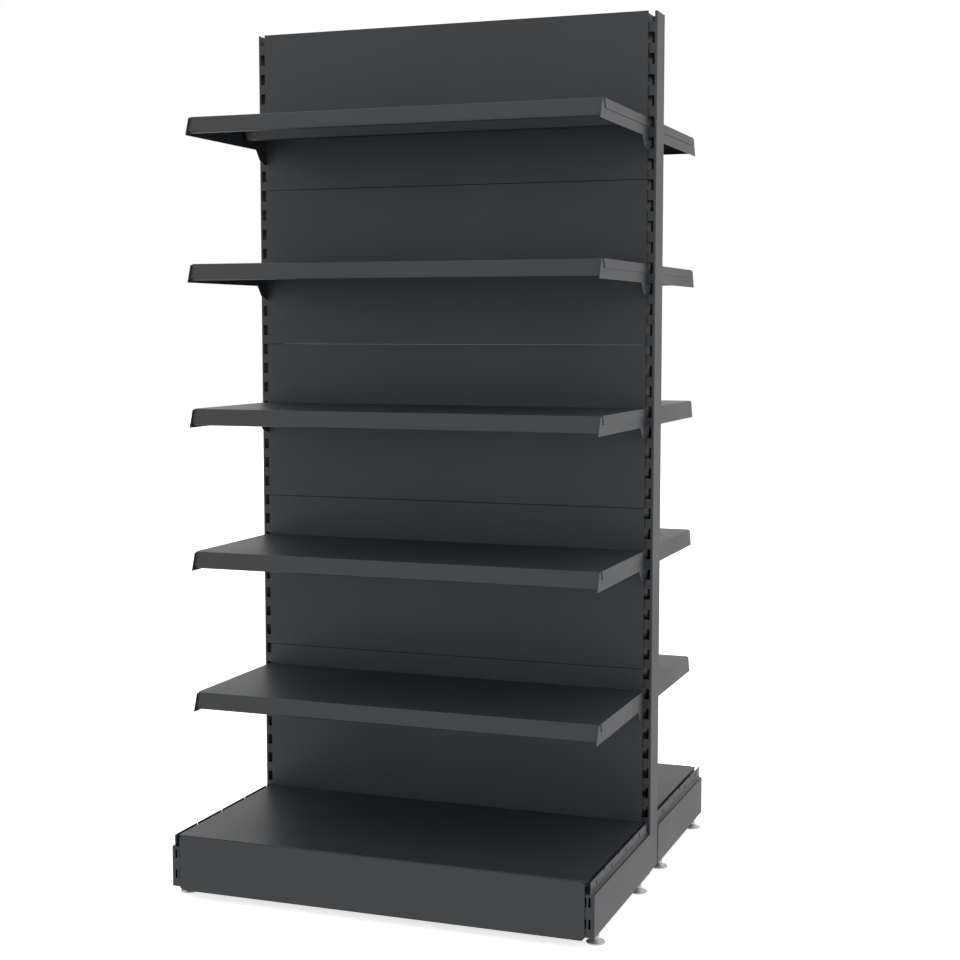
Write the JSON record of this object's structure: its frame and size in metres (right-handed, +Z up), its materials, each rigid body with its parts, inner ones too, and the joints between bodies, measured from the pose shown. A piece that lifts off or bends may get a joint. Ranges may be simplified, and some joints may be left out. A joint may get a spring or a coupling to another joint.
{
  "type": "double-sided gondola shelving",
  "caption": "Free-standing double-sided shop shelving with slotted uprights, back panels, hook-on shelves with slanted front lips, base shelves behind kick plates and screw feet.",
  "frame": {"origin": "on the floor, in the middle of the unit", "axes": "+Z up, +X along the bay, the front side faces -Y"},
  "size_m": [1.088, 1.08, 2.1445],
  "materials": {
    "powder_coat": "fine satin anthracite powder coat on sheet steel",
    "zinc_plate": "bright zinc plate"
  },
  "bodies": {
    "frame": {"upright_left": "powder_coat", "upright_right": "powder_coat", "base_leg_front_left": "powder_coat", "base_leg_front_right": "powder_coat", "back_panel_front_1": "powder_coat", "back_panel_front_2": "powder_coat", "back_panel_front_3": "powder_coat", "back_panel_front_4": "powder_coat", "back_panel_front_5": "powder_coat", "base_leg_rear_left": "powder_coat", "base_leg_rear_right": "powder_coat", "back_panel_rear_1": "powder_coat", "back_panel_rear_2": "powder_coat", "back_panel_rear_3": "powder_coat", "back_panel_rear_4": "powder_coat", "back_panel_rear_5": "powder_coat", "foot_nuts": "zinc_plate"},
    "foot_front_left_outer": {"foot_front_left_outer": "zinc_plate"},
    "foot_front_left_inner": {"foot_front_left_inner": "zinc_plate"},
    "foot_front_right_outer": {"foot_front_right_outer": "zinc_plate"},
    "foot_front_right_inner": {"foot_front_right_inner": "zinc_plate"},
    "foot_rear_left_outer": {"foot_rear_left_outer": "zinc_plate"},
    "foot_rear_left_inner": {"foot_rear_left_inner": "zinc_plate"},
    "foot_rear_right_outer": {"foot_rear_right_outer": "zinc_plate"},
    "foot_rear_right_inner": {"foot_rear_right_inner": "zinc_plate"},
    "kick_plate_front": {"kick_plate_front": "powder_coat"},
    "base_shelf_front": {"base_shelf_front": "powder_coat"},
    "brackets_front_1": {"bracket_front_1_left": "powder_coat", "bracket_front_1_right": "powder_coat"},
    "shelf_front_1": {"shelf_front_1": "powder_coat"},
    "brackets_front_2": {"bracket_front_2_left": "powder_coat", "bracket_front_2_right": "powder_coat"},
    "shelf_front_2": {"shelf_front_2": "powder_coat"},
    "brackets_front_3": {"bracket_front_3_left": "powder_coat", "bracket_front_3_right": "powder_coat"},
    "shelf_front_3": {"shelf_front_3": "powder_coat"},
    "brackets_front_4": {"bracket_front_4_left": "powder_coat", "bracket_front_4_right": "powder_coat"},
    "shelf_front_4": {"shelf_front_4": "powder_coat"},
    "brackets_front_5": {"bracket_front_5_left": "powder_coat", "bracket_front_5_right": "powder_coat"},
    "shelf_front_5": {"shelf_front_5": "powder_coat"},
    "kick_plate_rear": {"kick_plate_rear": "powder_coat"},
    "base_shelf_rear": {"base_shelf_rear": "powder_coat"},
    "brackets_rear_1": {"bracket_rear_1_left": "powder_coat", "bracket_rear_1_right": "powder_coat"},
    "shelf_rear_1": {"shelf_rear_1": "powder_coat"},
    "brackets_rear_2": {"bracket_rear_2_left": "powder_coat", "bracket_rear_2_right": "powder_coat"},
    "shelf_rear_2": {"shelf_rear_2": "powder_coat"},
    "brackets_rear_3": {"bracket_rear_3_left": "powder_coat", "bracket_rear_3_right": "powder_coat"},
    "shelf_rear_3": {"shelf_rear_3": "powder_coat"},
    "brackets_rear_4": {"bracket_rear_4_left": "powder_coat", "bracket_rear_4_right": "powder_coat"},
    "shelf_rear_4": {"shelf_rear_4": "powder_coat"},
    "brackets_rear_5": {"bracket_rear_5_left": "powder_coat", "bracket_rear_5_right": "powder_coat"},
    "shelf_rear_5": {"shelf_rear_5": "powder_coat"}
  },
  "joints": [
    {"name": "foot_front_left_outer_screw", "type": "slide", "parent": "frame", "child": "foot_front_left_outer", "axis": [0, 0, -1], "range_m": [-0.01, 0.025]},
    {"name": "foot_front_left_inner_screw", "type": "slide", "parent": "frame", "child": "foot_front_left_inner", "axis": [0, 0, -1], "range_m": [-0.01, 0.025]},
    {"name": "foot_front_right_outer_screw", "type": "slide", "parent": "frame", "child": "foot_front_right_outer", "axis": [0, 0, -1], "range_m": [-0.01, 0.025]},
    {"name": "foot_front_right_inner_screw", "type": "slide", "parent": "frame", "child": "foot_front_right_inner", "axis": [0, 0, -1], "range_m": [-0.01, 0.025]},
    {"name": "foot_rear_left_outer_screw", "type": "slide", "parent": "frame", "child": "foot_rear_left_outer", "axis": [0, 0, -1], "range_m": [-0.01, 0.025]},
    {"name": "foot_rear_left_inner_screw", "type": "slide", "parent": "frame", "child": "foot_rear_left_inner", "axis": [0, 0, -1], "range_m": [-0.01, 0.025]},
    {"name": "foot_rear_right_outer_screw", "type": "slide", "parent": "frame", "child": "foot_rear_right_outer", "axis": [0, 0, -1], "range_m": [-0.01, 0.025]},
    {"name": "foot_rear_right_inner_screw", "type": "slide", "parent": "frame", "child": "foot_rear_right_inner", "axis": [0, 0, -1], "range_m": [-0.01, 0.025]},
    {"name": "kick_plate_front_lift", "type": "slide", "parent": "frame", "child": "kick_plate_front", "axis": [0, 0, 1], "range_m": [0, 0.012]},
    {"name": "base_shelf_front_lift", "type": "slide", "parent": "frame", "child": "base_shelf_front", "axis": [0, 0, 1], "range_m": [0, 0.12]},
    {"name": "brackets_front_1_lift", "type": "slide", "parent": "frame", "child": "brackets_front_1", "axis": [0, 0, 1], "range_m": [0, 0.012]},
    {"name": "shelf_front_1_lift", "type": "slide", "parent": "brackets_front_1", "child": "shelf_front_1", "axis": [0, 0, 1], "range_m": [0, 0.12]},
    {"name": "brackets_front_2_lift", "type": "slide", "parent": "frame", "child": "brackets_front_2", "axis": [0, 0, 1], "range_m": [0, 0.012]},
    {"name": "shelf_front_2_lift", "type": "slide", "parent": "brackets_front_2", "child": "shelf_front_2", "axis": [0, 0, 1], "range_m": [0, 0.12]},
    {"name": "brackets_front_3_lift", "type": "slide", "parent": "frame", "child": "brackets_front_3", "axis": [0, 0, 1], "range_m": [0, 0.012]},
    {"name": "shelf_front_3_lift", "type": "slide", "parent": "brackets_front_3", "child": "shelf_front_3", "axis": [0, 0, 1], "range_m": [0, 0.12]},
    {"name": "brackets_front_4_lift", "type": "slide", "parent": "frame", "child": "brackets_front_4", "axis": [0, 0, 1], "range_m": [0, 0.012]},
    {"name": "shelf_front_4_lift", "type": "slide", "parent": "brackets_front_4", "child": "shelf_front_4", "axis": [0, 0, 1], "range_m": [0, 0.12]},
    {"name": "brackets_front_5_lift", "type": "slide", "parent": "frame", "child": "brackets_front_5", "axis": [0, 0, 1], "range_m": [0, 0.012]},
    {"name": "shelf_front_5_lift", "type": "slide", "parent": "brackets_front_5", "child": "shelf_front_5", "axis": [0, 0, 1], "range_m": [0, 0.12]},
    {"name": "kick_plate_rear_lift", "type": "slide", "parent": "frame", "child": "kick_plate_rear", "axis": [0, 0, 1], "range_m": [0, 0.012]},
    {"name": "base_shelf_rear_lift", "type": "slide", "parent": "frame", "child": "base_shelf_rear", "axis": [0, 0, 1], "range_m": [0, 0.12]},
    {"name": "brackets_rear_1_lift", "type": "slide", "parent": "frame", "child": "brackets_rear_1", "axis": [0, 0, 1], "range_m": [0, 0.012]},
    {"name": "shelf_rear_1_lift", "type": "slide", "parent": "brackets_rear_1", "child": "shelf_rear_1", "axis": [0, 0, 1], "range_m": [0, 0.12]},
    {"name": "brackets_rear_2_lift", "type": "slide", "parent": "frame", "child": "brackets_rear_2", "axis": [0, 0, 1], "range_m": [0, 0.012]},
    {"name": "shelf_rear_2_lift", "type": "slide", "parent": "brackets_rear_2", "child": "shelf_rear_2", "axis": [0, 0, 1], "range_m": [0, 0.12]},
    {"name": "brackets_rear_3_lift", "type": "slide", "parent": "frame", "child": "brackets_rear_3", "axis": [0, 0, 1], "range_m": [0, 0.012]},
    {"name": "shelf_rear_3_lift", "type": "slide", "parent": "brackets_rear_3", "child": "shelf_rear_3", "axis": [0, 0, 1], "range_m": [0, 0.12]},
    {"name": "brackets_rear_4_lift", "type": "slide", "parent": "frame", "child": "brackets_rear_4", "axis": [0, 0, 1], "range_m": [0, 0.012]},
    {"name": "shelf_rear_4_lift", "type": "slide", "parent": "brackets_rear_4", "child": "shelf_rear_4", "axis": [0, 0, 1], "range_m": [0, 0.12]},
    {"name": "brackets_rear_5_lift", "type": "slide", "parent": "frame", "child": "brackets_rear_5", "axis": [0, 0, 1], "range_m": [0, 0.012]},
    {"name": "shelf_rear_5_lift", "type": "slide", "parent": "brackets_rear_5", "child": "shelf_rear_5", "axis": [0, 0, 1], "range_m": [0, 0.12]}
  ]
}
